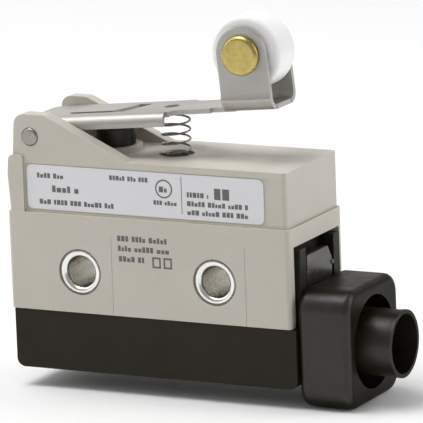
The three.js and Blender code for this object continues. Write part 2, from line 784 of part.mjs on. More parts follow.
const leverFrame = new THREE.Group();
leverFrame.position.set(PIVOT.x, MID, PIVOT.z);
leverFrame.rotation.y = -LEVER.rise;
assembly.add(leverFrame);
piece('lever', lever(), M.stainless, leverFrame);
piece('roller', roller(), M.nylon, leverFrame);
piece('roller_rivet', rollerRivet(), M.brass, leverFrame);

piece('hinge_pin', hingePin(), M.stainless);
piece('return_spring', returnSpring(), M.stainless);
piece('plunger_cap', plungerCap(), M.rubber);
piece('plunger', plunger(), M.acetal);
piece('pusher', pusher(), M.acetal);
piece('overtravel_spring', overtravelSpring(), M.stainless);

piece('switch_base', switchBase(), M.phenolic);
piece('switch_lid', switchLid(), M.phenolic);
piece('switch_pin', switchPin(), M.acetal);
piece('snap_blade', snapBlade(), M.brass);
piece('moving_contact', movingContact(), M.silver);
piece('contact_nc', contactDisc(8.0, 8.45), M.silver);
piece('contact_no', contactDisc(4.75, 5.15), M.silver);
piece('terminal_com', terminal('com', 6.7), M.brass);
piece('terminal_no', terminal('no', 4.7, { x0: LEG_X.no[0], x1: 18.9, z0: 4.3, z1: 4.7 }), M.brass);
piece('terminal_nc', terminal('nc', 9.1, { x0: 15.0, x1: LEG_X.nc[1], z0: 8.5, z1: 9.1 }), M.brass);
for (const [name, x] of Object.entries(TERMINAL_X)) {
  piece(`terminal_washer_${name}`, terminalWasher(x), M.tinned);
  piece(`terminal_screw_${name}`, terminalScrew(x), M.tinned);
}

export default assembly;
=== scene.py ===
"""Looks of the limit switch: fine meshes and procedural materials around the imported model."""

import json
import math
import random

import bmesh
import bpy
from mathutils import Matrix, Vector


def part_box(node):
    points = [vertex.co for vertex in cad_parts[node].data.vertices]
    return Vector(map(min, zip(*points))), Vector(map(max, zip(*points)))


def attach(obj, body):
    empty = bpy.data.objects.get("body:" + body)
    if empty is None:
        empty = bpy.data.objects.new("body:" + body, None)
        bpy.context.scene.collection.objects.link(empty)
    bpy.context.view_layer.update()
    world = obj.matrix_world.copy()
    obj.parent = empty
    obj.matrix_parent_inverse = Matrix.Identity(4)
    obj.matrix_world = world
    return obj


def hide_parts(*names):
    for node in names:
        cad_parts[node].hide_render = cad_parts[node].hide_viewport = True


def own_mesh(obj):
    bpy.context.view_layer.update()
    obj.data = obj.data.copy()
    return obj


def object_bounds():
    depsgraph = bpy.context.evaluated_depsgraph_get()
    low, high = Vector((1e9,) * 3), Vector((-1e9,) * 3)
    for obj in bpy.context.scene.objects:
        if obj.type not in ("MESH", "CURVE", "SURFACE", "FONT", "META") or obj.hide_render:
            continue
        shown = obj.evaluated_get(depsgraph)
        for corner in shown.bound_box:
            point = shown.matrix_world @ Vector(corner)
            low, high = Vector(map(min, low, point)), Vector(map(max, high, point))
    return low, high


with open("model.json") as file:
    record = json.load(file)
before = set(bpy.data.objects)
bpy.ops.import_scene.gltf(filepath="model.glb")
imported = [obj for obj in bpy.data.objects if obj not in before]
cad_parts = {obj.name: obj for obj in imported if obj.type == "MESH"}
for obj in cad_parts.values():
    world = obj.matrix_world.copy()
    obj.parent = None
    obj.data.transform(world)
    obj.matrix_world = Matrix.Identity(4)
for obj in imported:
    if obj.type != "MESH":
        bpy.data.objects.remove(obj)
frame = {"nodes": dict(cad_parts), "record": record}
cad_box = [list(corner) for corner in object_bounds()]

# ---------------------------------------------------------------------------------------------
# Frame dimensions. Meshes are drawn in millimetres and scaled to metres when they are placed.
# ---------------------------------------------------------------------------------------------

MM = 0.001

# How far a cutting tool reaches past the face where it enters.
OVER = 1.0


def node_box(node):
    """Lowest and highest corner of a CAD node, in millimetres."""
    low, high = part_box(node)
    return low / MM, high / MM


CASE_LOW, CASE_HIGH = node_box("lower_case")
HOUSING_LOW, HOUSING_HIGH = node_box("upper_housing")
COVER_LOW, COVER_HIGH = node_box("terminal_cover")
BOOT_LOW, BOOT_HIGH = node_box("cable_boot")
LATCH_LOW, LATCH_HIGH = node_box("cover_latch")
PLATE_LOW, PLATE_HIGH = node_box("nameplate")
CAP_LOW, CAP_HIGH = node_box("plunger_cap")
SPRING_LOW, SPRING_HIGH = node_box("return_spring")
OVERTRAVEL_LOW, OVERTRAVEL_HIGH = node_box("overtravel_spring")
PIN_LOW, PIN_HIGH = node_box("hinge_pin")
ROLLER_LOW, ROLLER_HIGH = node_box("roller")
SLEEVES = {side: node_box(f"mounting_sleeve_{side}") for side in ("left", "right")}

FRONT = CASE_LOW.y
MID = (CASE_LOW.y + CASE_HIGH.y) / 2
HOUSING_FRONT = FRONT + 0.5
HOUSING_BACK = -0.1
DECK = 19.3
BOSS_TOP = CAP_LOW.z - 0.05
SEAM = HOUSING_LOW.z - 0.35
PIVOT = (PIN_LOW + PIN_HIGH) / 2
ROLLER = (ROLLER_LOW + ROLLER_HIGH) / 2
LEVER_RISE = math.radians(5.5)
PLUNGER_X = (CAP_LOW.x + CAP_HIGH.x) / 2
SPRING_X = (SPRING_LOW.x + SPRING_HIGH.x) / 2
PLUNGER_AXIS = Vector((PLUNGER_X, MID, 0))
SPRING_AXIS = Vector((SPRING_X, MID, 0))
INLET_AXIS = Vector((0, MID, -10.5))
PIN_BORE = 1.57
AXLE_BORE = 2.06
CORD_BORE = 4.6

# ---------------------------------------------------------------------------------------------
# Mesh tools
# ---------------------------------------------------------------------------------------------


def mesh_object(name, vertices, faces):
    """A new object in the scene, with its faces turned outwards."""
    mesh = bpy.data.meshes.new(name)
    mesh.from_pydata([tuple(v) for v in vertices], [], faces)
    bm = bmesh.new()
    bm.from_mesh(mesh)
    bmesh.ops.recalc_face_normals(bm, faces=bm.faces)
    bm.to_mesh(mesh)
    bm.free()
    obj = bpy.data.objects.new(name, mesh)
    bpy.context.scene.collection.objects.link(obj)
    return obj


def rounded(corners, steps=8, closed=True):
    """Outline through (a, b, radius) corners, with an arc at each one that has a radius."""
    outline = []
    count = len(corners)
    for i, (a, b, radius) in enumerate(corners):
        here = Vector((a, b))
        is_end = not closed and i in (0, count - 1)
        if radius <= 0 or is_end:
            outline.append(here)
            continue
        before = Vector(corners[i - 1][:2]) - here
        after = Vector(corners[(i + 1) % count][:2]) - here
        before.normalize()
        after.normalize()
        half_angle = before.angle(after) / 2
        reach = radius / math.tan(half_angle)
        centre = here + (before + after).normalized() * (radius / math.sin(half_angle))
        start = here + before * reach - centre
        sweep = start.angle_signed(here + after * reach - centre)
        for k in range(steps + 1):
            turn = Matrix.Rotation(-sweep * k / steps, 2)
            outline.append(centre + turn @ start)
    return outline


def rect(a0, a1, b0, b1, r):
    """A rectangle with its corners rounded."""
    return rounded([(a0, b0, r), (a1, b0, r), (a1, b1, r), (a0, b1, r)])


AXES = {
    "X": lambda a, b, h: (h, a, b),
    "Y": lambda a, b, h: (a, h, b),
    "Z": lambda a, b, h: (a, b, h),
}


def prism(name, outline, axis, low, high):
    """The outline, in the two other coordinates, raised along one axis."""
    place = AXES[axis]
    count = len(outline)
    vertices = [place(a, b, low) for a, b in outline] + [place(a, b, high) for a, b in outline]
    faces = [tuple(range(count)), tuple(range(2 * count - 1, count - 1, -1))]
    faces += [(i, (i + 1) % count, (i + 1) % count + count, i + count) for i in range(count)]
    return mesh_object(name, vertices, faces)


def block(name, x0, x1, y0, y1, z0, z1):
    """A box between two corners."""
    return prism(name, [(x0, y0), (x1, y0), (x1, y1), (x0, y1)], "Z", z0, z1)


def lathe(name, profile, axis, centre, segments=96):
    """Turns a profile of (radius, height) points about an axis. It closes on the axis or on itself."""
    place = AXES[axis]
    on_axis = profile[0][0] < 1e-6
    vertices = []
    rows = []
    for radius, height in profile:
        if radius < 1e-6:
            rows.append([len(vertices)] * segments)
            vertices.append(Vector(place(0, 0, height)) + centre)
            continue
        row = []
        for k in range(segments):
            angle = 2 * math.pi * k / segments
            a, b = radius * math.cos(angle), radius * math.sin(angle)
            row.append(len(vertices))
            vertices.append(Vector(place(a, b, height)) + centre)
        rows.append(row)
    pairs = list(zip(rows, rows[1:]))
    if not on_axis:
        pairs.append((rows[-1], rows[0]))
    faces = []
    for lower, upper in pairs:
        for k in range(segments):
            n = (k + 1) % segments
            quad = (lower[k], lower[n], upper[n], upper[k])
            face = tuple(dict.fromkeys(quad))
            if len(face) > 2:
                faces.append(face)
    return mesh_object(name, vertices, faces)


def rod(name, radius, axis, low, high, centre, segments=64):
    """A cylinder along an axis."""
    profile = [(0, low), (radius, low), (radius, high), (0, high)]
    return lathe(name, profile, axis, centre, segments)


def boolean(target, tool, operation):
    """Cuts the tool from the target, or joins it on, and removes the tool."""
    modifier = target.modifiers.new("boolean", "BOOLEAN")
    modifier.operation = operation
    modifier.solver = "MANIFOLD"
    modifier.object = tool
    apply_modifiers(target)
    bpy.data.objects.remove(tool)


def apply_modifiers(obj):
    """Bakes the modifiers into the mesh."""
    graph = bpy.context.evaluated_depsgraph_get()
    mesh = bpy.data.meshes.new_from_object(obj.evaluated_get(graph))
    obj.modifiers.clear()
    old = obj.data
    obj.data = mesh
    bpy.data.meshes.remove(old)


def cut(target, *tools):
    """Takes every tool away from the target."""
    for tool in tools:
        boolean(target, tool, "DIFFERENCE")
    return target


def join(target, *tools):
    """Merges every tool into the target."""
    for tool in tools:
        boolean(target, tool, "UNION")
    return target


def clean(obj):
    """Merges doubled points and the flat faces that cutting has split."""
    bm = bmesh.new()
    bm.from_mesh(obj.data)
    bmesh.ops.remove_doubles(bm, verts=bm.verts, dist=0.0005)
    bmesh.ops.dissolve_degenerate(bm, edges=bm.edges, dist=0.0005)
    bmesh.ops.dissolve_limit(bm, angle_limit=math.radians(0.6), verts=bm.verts, edges=bm.edges)
    bm.to_mesh(obj.data)
    bm.free()


def soften(obj, width, segments=3, angle=38):
    """Rounds every edge sharper than the angle."""
    clean(obj)
    bevel = obj.modifiers.new("bevel", "BEVEL")
    bevel.width = width
    bevel.segments = segments
    bevel.limit_method = "ANGLE"
    bevel.angle_limit = math.radians(angle)
    bevel.miter_outer = "MITER_ARC"
    apply_modifiers(obj)
    return obj


def tube(name, points, radius, sides=14):
    """A round wire through the points, with closed ends."""
    vertices = []
    faces = []
    for i, point in enumerate(points):
        ahead = points[min(i + 1, len(points) - 1)] - points[max(i - 1, 0)]
        side = ahead.cross(Vector((0, 0, 1))).normalized()
        up = side.cross(ahead).normalized()
        for k in range(sides):
            angle = 2 * math.pi * k / sides
            vertices.append(point + (side * math.cos(angle) + up * math.sin(angle)) * radius)
    for i in range(len(points) - 1):
        for k in range(sides):
            n = (k + 1) % sides
            faces.append((i * sides + k, i * sides + n, (i + 1) * sides + n, (i + 1) * sides + k))
    last = (len(points) - 1) * sides
    faces.append(tuple(range(sides)))
    faces.append(tuple(range(last + sides - 1, last - 1, -1)))
    return mesh_object(name, vertices, faces)


# ---------------------------------------------------------------------------------------------
# Material tools
# ---------------------------------------------------------------------------------------------


class Shader:
    """A Principled material and short ways to add procedural detail to it."""

    def __init__(self, name, colour, roughness, metallic=0.0):
        self.material = bpy.data.materials.new(name)
        self.material.use_nodes = True
        self.tree = self.material.node_tree
        self.body = self.tree.nodes["Principled BSDF"]
        self.body.inputs["Base Color"].default_value = (*colour, 1)
        self.body.inputs["Roughness"].default_value = roughness
        self.body.inputs["Metallic"].default_value = metallic
        self.coords = self.tree.nodes.new("ShaderNodeTexCoord")
        self.bump_chain = None

    def link(self, source, target):
        self.tree.links.new(source, target)

    def mapping(self, scale=(1, 1, 1)):
        node = self.tree.nodes.new("ShaderNodeMapping")
        node.inputs["Scale"].default_value = scale
        self.link(self.coords.outputs["Object"], node.inputs["Vector"])
        return node.outputs["Vector"]

    def noise(self, scale, detail=3.0, stretch=(1, 1, 1), roughness=0.5):
        node = self.tree.nodes.new("ShaderNodeTexNoise")
        node.inputs["Scale"].default_value = scale
        node.inputs["Detail"].default_value = detail
        node.inputs["Roughness"].default_value = roughness
        self.link(self.mapping(stretch), node.inputs["Vector"])
        return node.outputs["Fac"]

    def ramp(self, value, low, high, out_low, out_high):
        """Carries one range of a value over to another."""
        node = self.tree.nodes.new("ShaderNodeMapRange")
        node.inputs["From Min"].default_value = low
        node.inputs["From Max"].default_value = high
        node.inputs["To Min"].default_value = out_low
        node.inputs["To Max"].default_value = out_high
        self.link(value, node.inputs["Value"])
        return node.outputs["Result"]

    def along(self, axis):
        """The place of a point along one axis of the piece, in metres."""
        node = self.tree.nodes.new("ShaderNodeSeparateXYZ")
        self.link(self.coords.outputs["Object"], node.inputs["Vector"])
        return node.outputs[axis]

    def tint(self, factor, colour):
        """Mixes another colour in by a factor, over whatever the base colour is so far."""
        node = self.tree.nodes.new("ShaderNodeMix")
        node.data_type = "RGBA"
        base = self.body.inputs["Base Color"]
        if base.is_linked:
            self.link(base.links[0].from_socket, node.inputs["A"])
        else:
            node.inputs["A"].default_value = base.default_value
        node.inputs["B"].default_value = (*colour, 1)
        self.link(factor, node.inputs["Factor"])
        self.link(node.outputs["Result"], base)

    def mottle(self, noise, low, high, amount, colour):
        """Mixes another colour in by up to an amount, where a noise rises from low to high."""
        self.tint(self.ramp(noise, low, high, 0.0, amount), colour)

    def rough(self, noise, low, high):
        """Roughness that wanders between two values with a noise."""
        self.link(self.ramp(noise, 0.3, 0.7, low, high), self.body.inputs["Roughness"])

    def bump(self, height, strength, distance):
        """Adds one more layer of relief over those before it."""
        node = self.tree.nodes.new("ShaderNodeBump")
        node.inputs["Strength"].default_value = strength
        node.inputs["Distance"].default_value = distance
        self.link(height, node.inputs["Height"])
        if self.bump_chain is not None:
            self.link(self.bump_chain, node.inputs["Normal"])
        self.bump_chain = node.outputs["Normal"]
        self.link(self.bump_chain, self.body.inputs["Normal"])

    def edges(self, width):
        """Nought on flats, rising to one within the width of an edge."""
        rounding = self.tree.nodes.new("ShaderNodeBevel")
        rounding.samples = 6
        rounding.inputs["Radius"].default_value = width
        flat = self.tree.nodes.new("ShaderNodeNewGeometry")
        product = self.tree.nodes.new("ShaderNodeVectorMath")
        product.operation = "DOT_PRODUCT"
        self.link(rounding.outputs["Normal"], product.inputs[0])
        self.link(flat.outputs["Normal"], product.inputs[1])
        return self.ramp(product.outputs["Value"], 0.99, 0.85, 0.0, 1.0)

    def fade_sheen(self, facing, grazing):
        """A pitted skin reflects less at grazing angles than a smooth one would."""
        node = self.tree.nodes.new("ShaderNodeLayerWeight")
        node.inputs["Blend"].default_value = 0.5
        level = self.ramp(node.outputs["Facing"], 0.2, 0.42, facing, grazing)
        self.link(level, self.body.inputs["Specular IOR Level"])

    def set(self, socket, value):
        self.body.inputs[socket].default_value = value


def moulded(name, colour, darker, lighter, roughness, grain):
    """Moulded plastic: eroded-tool grain, faint flow mottling, and edges lightened as a painted highlight.
    """
    s = Shader(name, colour, roughness)
    s.mottle(s.noise(90, 4), 0.35, 0.7, 0.55, darker)
    s.mottle(s.noise(2600, 2), 0.45, 0.75, 0.25, lighter)
    # Painted highlight: a lighter colour along every edge.
    s.tint(s.edges(0.0002), lighter)
    s.rough(s.noise(240, 5), roughness - 0.08, roughness + 0.1)
    s.bump(s.noise(3800, 3, roughness=0.6), grain, 0.00003)
    s.bump(s.noise(60, 2), 0.08, 0.0001)
    return s


def case_plastic():
    """Warm grey, slightly translucent case plastic."""
    darker, lighter = (0.53, 0.49, 0.425), (0.62, 0.585, 0.53)
    s = moulded("case_plastic", (0.56, 0.525, 0.462), darker, lighter, 0.5, 0.22)
    s.set("Subsurface Weight", 0.04)
    s.set("Subsurface Radius", (0.0012, 0.0009, 0.0006))
    return s.material


def cover_plastic():
    """Black, matt cover plastic."""
    darker, lighter = (0.015, 0.012, 0.006), (0.034, 0.03, 0.022)
    s = moulded("cover_plastic", (0.0195, 0.0155, 0.0085), darker, lighter, 0.52, 0.25)
    s.set("Specular IOR Level", 0.2)
    return s.material


def latch_plastic():
    """A lighter, glossier copy of the cover's plastic for the latch; the lighter colour is a painted
    highlight.
    """
    # Painted highlight: base and edge colours lighter than the cover plastic's.
    darker, lighter = (0.016, 0.014, 0.01), (0.05, 0.045, 0.036)
    s = moulded("latch_plastic", (0.024, 0.021, 0.016), darker, lighter, 0.3, 0.12)
    s.set("Specular IOR Level", 0.75)
    return s.material


def black_rubber():
    """Moulded rubber: a matt bloom in patches, a fine pitted skin, and edges lightened as a painted
    highlight.
    """
    s = Shader("black_rubber", (0.0145, 0.0115, 0.0065), 0.5)
    s.mottle(s.noise(140, 5), 0.45, 0.75, 0.6, (0.024, 0.02, 0.0125))
    # Painted highlight: a lighter colour along every edge.
    s.tint(s.edges(0.0003), (0.04, 0.035, 0.028))
    s.rough(s.noise(420, 5), 0.34, 0.48)
    s.bump(s.noise(5200, 2), 0.14, 0.00002)
    s.bump(s.noise(160, 4), 0.12, 0.00015)
    s.fade_sheen(0.5, 0.06)
    return s.material


def stainless():
    """Rolled stainless sheet: long drawn streaks, a faint warm tone and dulled press marks."""
    s = Shader("stainless", (0.49, 0.472, 0.445), 0.28, 1.0)
    streaks = s.noise(1.0, 4, stretch=(260, 9000, 9000))
    s.mottle(streaks, 0.3, 0.75, 0.25, (0.42, 0.4, 0.37))
    s.mottle(s.noise(320, 5), 0.5, 0.8, 0.3, (0.4, 0.38, 0.35))
    s.rough(streaks, 0.45, 0.58)
    s.bump(streaks, 0.05, 0.00001)
    s.bump(s.noise(500, 3), 0.1, 0.00003)
    s.set("Anisotropic", 0.3)
    return s.material


def pin_steel():
    """Turned steel, a little darker than the sheet, with edges lightened as a painted highlight."""
    s = Shader("pin_steel", (0.37, 0.345, 0.31), 0.3, 1.0)
    s.mottle(s.noise(700, 5), 0.4, 0.7, 0.5, (0.3, 0.28, 0.25))
    # Painted highlight: a lighter colour along every edge.
    s.tint(s.edges(0.0002), (0.6, 0.58, 0.54))
    s.rough(s.noise(900, 4), 0.24, 0.38)
    s.bump(s.noise(1500, 3), 0.06, 0.00002)
    return s.material


def spring_wire():
    """Drawn wire, darkened in places by oil."""
    s = Shader("spring_wire", (0.33, 0.31, 0.28), 0.32, 1.0)
    s.mottle(s.noise(900, 4), 0.4, 0.7, 0.7, (0.22, 0.2, 0.18))
    s.rough(s.noise(2500, 3), 0.25, 0.42)
    s.bump(s.noise(6000, 2), 0.12, 0.00001)
    return s.material


def tinned_metal():
    """Bright plating with a soft, slightly uneven surface, and painted shade that darkens it down the bore.
    """
    bright, bore_shade_colour = (0.84, 0.84, 0.82), (0.6, 0.585, 0.535)
    front_lip, back_lip = (-0.01995, -0.0194), (-0.0011, -0.0006)
    s = Shader("tinned_metal", bright, 0.24, 1.0)
    # Painted shade down the bore: darker from the front lip inwards, bright again at the back lip.
    depth = s.along("Y")
    s.tint(s.ramp(depth, *front_lip, 0.0, 1.0), bore_shade_colour)
    s.tint(s.ramp(depth, *back_lip, 0.0, 1.0), bright)
    s.mottle(s.noise(300, 3), 0.45, 0.75, 0.3, (0.74, 0.73, 0.7))
    s.rough(s.noise(500, 3), 0.22, 0.3)
    s.bump(s.noise(400, 2), 0.02, 0.00002)
    return s.material


def brass():
    """Headed brass: a mottled, slightly tarnished face, with edges lightened as a painted highlight."""
    s = Shader("brass", (0.6, 0.49, 0.17), 0.3, 1.0)
    s.mottle(s.noise(850, 6, roughness=0.65), 0.42, 0.7, 0.7, (0.44, 0.33, 0.11))
    # Painted highlight: a lighter colour along every edge.
    s.tint(s.edges(0.00015), (0.85, 0.75, 0.4))
    s.rough(s.noise(1500, 4), 0.24, 0.44)
    s.bump(s.noise(2200, 4), 0.14, 0.00003)
    return s.material


def copper_alloy():
    """Rolled contact strip, dulled in patches."""
    s = Shader("copper_alloy", (0.72, 0.48, 0.25), 0.3, 1.0)
    s.mottle(s.noise(400, 5), 0.4, 0.7, 0.6, (0.5, 0.3, 0.15))
    s.rough(s.noise(900, 4), 0.22, 0.4)
    s.bump(s.noise(1.0, 3, stretch=(300, 6000, 6000)), 0.1, 0.00001)
    return s.material


def silver():
    """Contact faces with a little tarnish."""
    s = Shader("silver", (0.85, 0.84, 0.81), 0.25, 1.0)
    s.mottle(s.noise(1500, 4), 0.4, 0.7, 0.6, (0.6, 0.57, 0.5))
    s.rough(s.noise(2500, 3), 0.2, 0.4)
    s.bump(s.noise(3000, 3), 0.1, 0.00001)
    return s.material


def roller_nylon():
    """White nylon: light passes a little way into it, and turning leaves faint rings."""
    s = Shader("roller_nylon", (0.93, 0.93, 0.918), 0.42)
    s.mottle(s.noise(120, 3), 0.4, 0.75, 0.5, (0.88, 0.877, 0.86))
    rings = s.noise(1.0, 2, stretch=(150, 9000, 150))
    s.rough(rings, 0.36, 0.5)
    s.bump(rings, 0.12, 0.00002)
    s.set("Subsurface Weight", 0.6)
    s.set("Subsurface Radius", (0.004, 0.0039, 0.0037))
    return s.material


def acetal():
    """Natural moulded acetal, for the sliding parts."""
    s = Shader("acetal", (0.78, 0.76, 0.7), 0.4)
    s.mottle(s.noise(300, 4), 0.4, 0.7, 0.4, (0.7, 0.67, 0.6))
    s.rough(s.noise(800, 3), 0.32, 0.48)
    s.bump(s.noise(2500, 2), 0.08, 0.00002)
    return s.material


def phenolic():
    """Dark brown moulding, for the built-in switch."""
    darker, lighter = (0.03, 0.02, 0.015), (0.08, 0.06, 0.045)
    return moulded("phenolic", (0.045, 0.03, 0.022), darker, lighter, 0.55, 0.3).material


def nameplate_film():
    """Satin printed film over a pale silver ground."""
    s = Shader("nameplate_film", (0.74, 0.735, 0.755), 0.36)
    s.mottle(s.noise(5000, 2), 0.45, 0.7, 0.3, (0.66, 0.655, 0.67))
    s.mottle(s.noise(50, 3), 0.4, 0.7, 0.5, (0.71, 0.71, 0.725))
    s.rough(s.noise(600, 4), 0.3, 0.44)
    s.bump(s.noise(4200, 2), 0.08, 0.00001)
    s.set("Coat Weight", 0.15)
    s.set("Coat Roughness", 0.3)
    return s.material


def print_ink():
    """Thin grey ink, uneven where it has rubbed."""
    s = Shader("print_ink", (0.1, 0.097, 0.1), 0.5)
    s.mottle(s.noise(4000, 3), 0.4, 0.75, 0.7, (0.24, 0.235, 0.235))
    s.rough(s.noise(3000, 2), 0.42, 0.6)
    s.bump(s.noise(6000, 2), 0.1, 0.00001)
    return s.material


MATERIALS = {
    "case_plastic": case_plastic(),
    "cover_plastic": cover_plastic(),
    "black_rubber": black_rubber(),
    "stainless": stainless(),
    "spring_wire": spring_wire(),
    "tinned_metal": tinned_metal(),
    "brass": brass(),
    "copper_alloy": copper_alloy(),
    "silver": silver(),
    "roller_nylon": roller_nylon(),
    "acetal": acetal(),
    "phenolic": phenolic(),
    "nameplate_film": nameplate_film(),
}
INK_FINISH = print_ink()
LATCH_FINISH = latch_plastic()
PIN_FINISH = pin_steel()


def flat_areas(bm, spread=0.5):
    """For every face, the area of the flat region that it belongs to."""
    limit = math.cos(math.radians(spread))
    areas = [0.0] * len(bm.faces)
    for first in bm.faces:
        if areas[first.index]:
            continue
        region = [first]
        inside = {first.index}
        for face in region:
            for other in (other for edge in face.edges for other in edge.link_faces):
                if other.index not in inside and other.normal.dot(first.normal) > limit:
                    inside.add(other.index)
                    region.append(other)
        total = sum(face.calc_area() for face in region)
        for face in region:
            areas[face.index] = total
    return areas


def smooth(obj, angle=40):
    """Smooth shading with crisp creases, in which large flat regions stay flat."""
    mesh = obj.data
    bm = bmesh.new()
    bm.from_mesh(mesh)
    areas = flat_areas(bm)
    limit = math.cos(math.radians(angle))
    normals = []
    for face in bm.faces:
        for corner in face.loops:
            total = face.normal * 1e-12
            for other in corner.vert.link_faces:
                if other.normal.dot(face.normal) > limit:
                    total += other.normal * areas[other.index]
            normals.append(total.normalized())
    bm.free()
    for polygon in mesh.polygons:
        polygon.use_smooth = True
    mesh.normals_split_custom_set(normals)


def place(obj, body, slot, *nodes, material=None):
    """Scales a finished piece to metres, gives it its finish and body, and hides the node it stands for."""
    obj.data.transform(Matrix.Scale(MM, 4))
    smooth(obj)
    obj.data.materials.clear()
    obj.data.materials.append(material or MATERIALS[slot])
    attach(obj, body)
    if nodes:
        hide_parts(*nodes)
    return obj


# ---------------------------------------------------------------------------------------------
# Lower case
# ---------------------------------------------------------------------------------------------

WALL = 1.6
SLEEVE_TUBE = 3.1
RECESS = {"r": 4.0, "depth": 0.8}
CAVITY = {"x0": -24.3, "x1": 22.6}
END_OPENING = {"x0": 23.8, "front": FRONT + 1.8, "back": -1.3, "top": 6.6}
GROOVE = {"places": (-6.5, 18.5), "half": 0.06, "depth": 0.08, "top": 6.4}
SLEEVE_BORE = 2.6


def lower_case():
    """The middle shell, open above and below and at the latch, with two shallow front grooves."""
    foot, head = CASE_LOW.z - OVER, CASE_HIGH.z + OVER
    outline = rect(CASE_LOW.x, CASE_HIGH.x, FRONT, 0, 0.8)
    body = prism("lower_case_shell", outline, "Z", CASE_LOW.z, CASE_HIGH.z)
    front, back = END_OPENING["front"], END_OPENING["back"]
    cut(
        body,
        block("tool", CAVITY["x0"], CAVITY["x1"], FRONT + WALL, -WALL, foot, head),
        block("tool", END_OPENING["x0"], CASE_HIGH.x + OVER, front, back, foot, END_OPENING["top"]),
    )
    for low, high in SLEEVES.values():
        centre = Vector(((low.x + high.x) / 2, 0, 0))
        cut(
            body,
            rod("tool", SLEEVE_TUBE + 0.1, "Y", FRONT - OVER, OVER, centre),
            rod("tool", RECESS["r"], "Y", FRONT - OVER, FRONT + RECESS["depth"], centre),
            rod("tool", RECESS["r"], "Y", -RECESS["depth"], OVER, centre),
        )
    soften(body, 0.28)
    half, floor_y = GROOVE["half"], FRONT + GROOVE["depth"]
    for x in GROOVE["places"]:
        cut(body, block("tool", x - half, x + half, FRONT - OVER, floor_y, foot, GROOVE["top"]))
    return place(body, "case", "case_plastic", "lower_case")


def mounting_sleeve(side):
    """A flanged tube through the case, with rounded lips."""
    low, high = SLEEVES[side]
    bore = SLEEVE_BORE
    flange = (high.x - low.x) / 2
    inner = RECESS["depth"] - 0.1
    y0, y1 = low.y, high.y
    corners = [
        (bore, y0, 0.75),
        (flange, y0, 0.18),
        (flange, FRONT + inner, 0.05),
        (SLEEVE_TUBE, FRONT + inner, 0),
        (SLEEVE_TUBE, -inner, 0),
        (flange, -inner, 0.05),
        (flange, y1, 0.18),
        (bore, y1, 0.75),
    ]
    centre = Vector(((low.x + high.x) / 2, 0, 0))
    sleeve = lathe(f"sleeve_{side}", rounded(corners), "Y", centre)
    return place(sleeve, "case", "tinned_metal", f"mounting_sleeve_{side}")


# ---------------------------------------------------------------------------------------------
# Upper housing and nameplate
# ---------------------------------------------------------------------------------------------

HOUSING_X0 = -24.9
HOUSING_WALL = 1.5
EAR = {
    "gap": 14.0,
    "back": -1.0,
    "x0": -24.4,
    "slope_top": -18.7,
    "slope_foot": -3.4,
    "back_trim": 0.8,
}
BAND = {"inner": -22.9, "shoulder": -25.55, "bulge": -25.85, "foot": -25.4, "top": 19.5}
BOSS = {"r": 4.6, "hole_r": 2.5, "hole_depth": 3}
WELL = {"r": 3.0, "lip": 1, "undercut_r": 3.9, "undercut_z0": 14.6, "tube_r": 4.2, "tube_z0": 13.4}
SEAT = {"x0": -22.6, "x1": 23.5, "z0": 10.15, "z1": 18.2, "depth": 0.15}


def ear_outline(trim):
    """Side view of an ear. The back ear is trimmed a little narrower at the top."""
    top, root = HOUSING_HIGH.z, DECK - 1.5
    return rounded(
        [
            (HOUSING_X0, root, 0),
            (EAR["slope_foot"], root, 0),
            (EAR["slope_foot"], DECK, 0.6),
            (EAR["slope_top"] - trim, top, 1.8),
            (EAR["x0"] + trim / 3, top, 1.9),
            (HOUSING_X0, DECK, 0),
        ]
    )


def band_outline():
    """Side view of the raised band, whose outer side bulges softly."""
    return rounded(
        [
            (BAND["inner"], SEAM, 0),
            (BAND["inner"], BAND["top"], 0.4),
            (BAND["shoulder"], BAND["top"], 0.9),
            (BAND["bulge"], 16.0, 8.0),
            (BAND["foot"], SEAM, 0),
        ]
    )


def upper_housing():
    """The top shell: ears, band and boss joined on, then the hollow, bores and label seat cut."""
    x0, x1 = HOUSING_X0, HOUSING_HIGH.x
    shell = rect(x0, x1, HOUSING_FRONT, HOUSING_BACK, 0.8)
    body = prism("upper_housing_shell", shell, "Z", SEAM, DECK)
    half = EAR["gap"] / 2
    join(
        body,
        prism("tool", ear_outline(0), "Y", HOUSING_FRONT, MID - half),
        prism("tool", ear_outline(EAR["back_trim"]), "Y", MID + half, EAR["back"]),
        prism("tool", band_outline(), "Y", FRONT + 0.05, -0.05),
        rod("tool", BOSS["r"], "Z", DECK - 1, BOSS_TOP, PLUNGER_AXIS),
    )
    wall = HOUSING_WALL
    front_wall, back_wall = HOUSING_FRONT + wall, HOUSING_BACK - wall
    cut(body, block("tool", x0 + 1.4, x1 - wall, front_wall, back_wall, SEAM - OVER, DECK - 1.6))
    join(body, rod("tool", WELL["tube_r"], "Z", WELL["tube_z0"], DECK - 0.5, SPRING_AXIS))
    seat = rect(SEAT["x0"], SEAT["x1"], SEAT["z0"], SEAT["z1"], 0.5)
    cut(
        body,
        rod("tool", WELL["r"], "Z", DECK - WELL["lip"], DECK + OVER, SPRING_AXIS),
        rod("tool", WELL["undercut_r"], "Z", WELL["undercut_z0"], DECK - 0.45, SPRING_AXIS),
        rod("tool", BOSS["hole_r"], "Z", DECK - BOSS["hole_depth"], BOSS_TOP + OVER, PLUNGER_AXIS),
        rod("tool", PIN_BORE, "Y", FRONT - OVER, OVER, Vector((PIVOT.x, 0, PIVOT.z))),
        prism("tool", seat, "Y", FRONT, HOUSING_FRONT + SEAT["depth"]),
    )
    soften(body, 0.3)
    return place(body, "case", "case_plastic", "upper_housing")


def nameplate():
    """The label film, with a barely softened edge."""
    low, high = PLATE_LOW, PLATE_HIGH
    plate = prism("nameplate_film", rect(low.x, high.x, low.z, high.z, 1.1), "Y", low.y, high.y)
    soften(plate, 0.03, 2)
    return place(plate, "case", "nameplate_film", "nameplate")


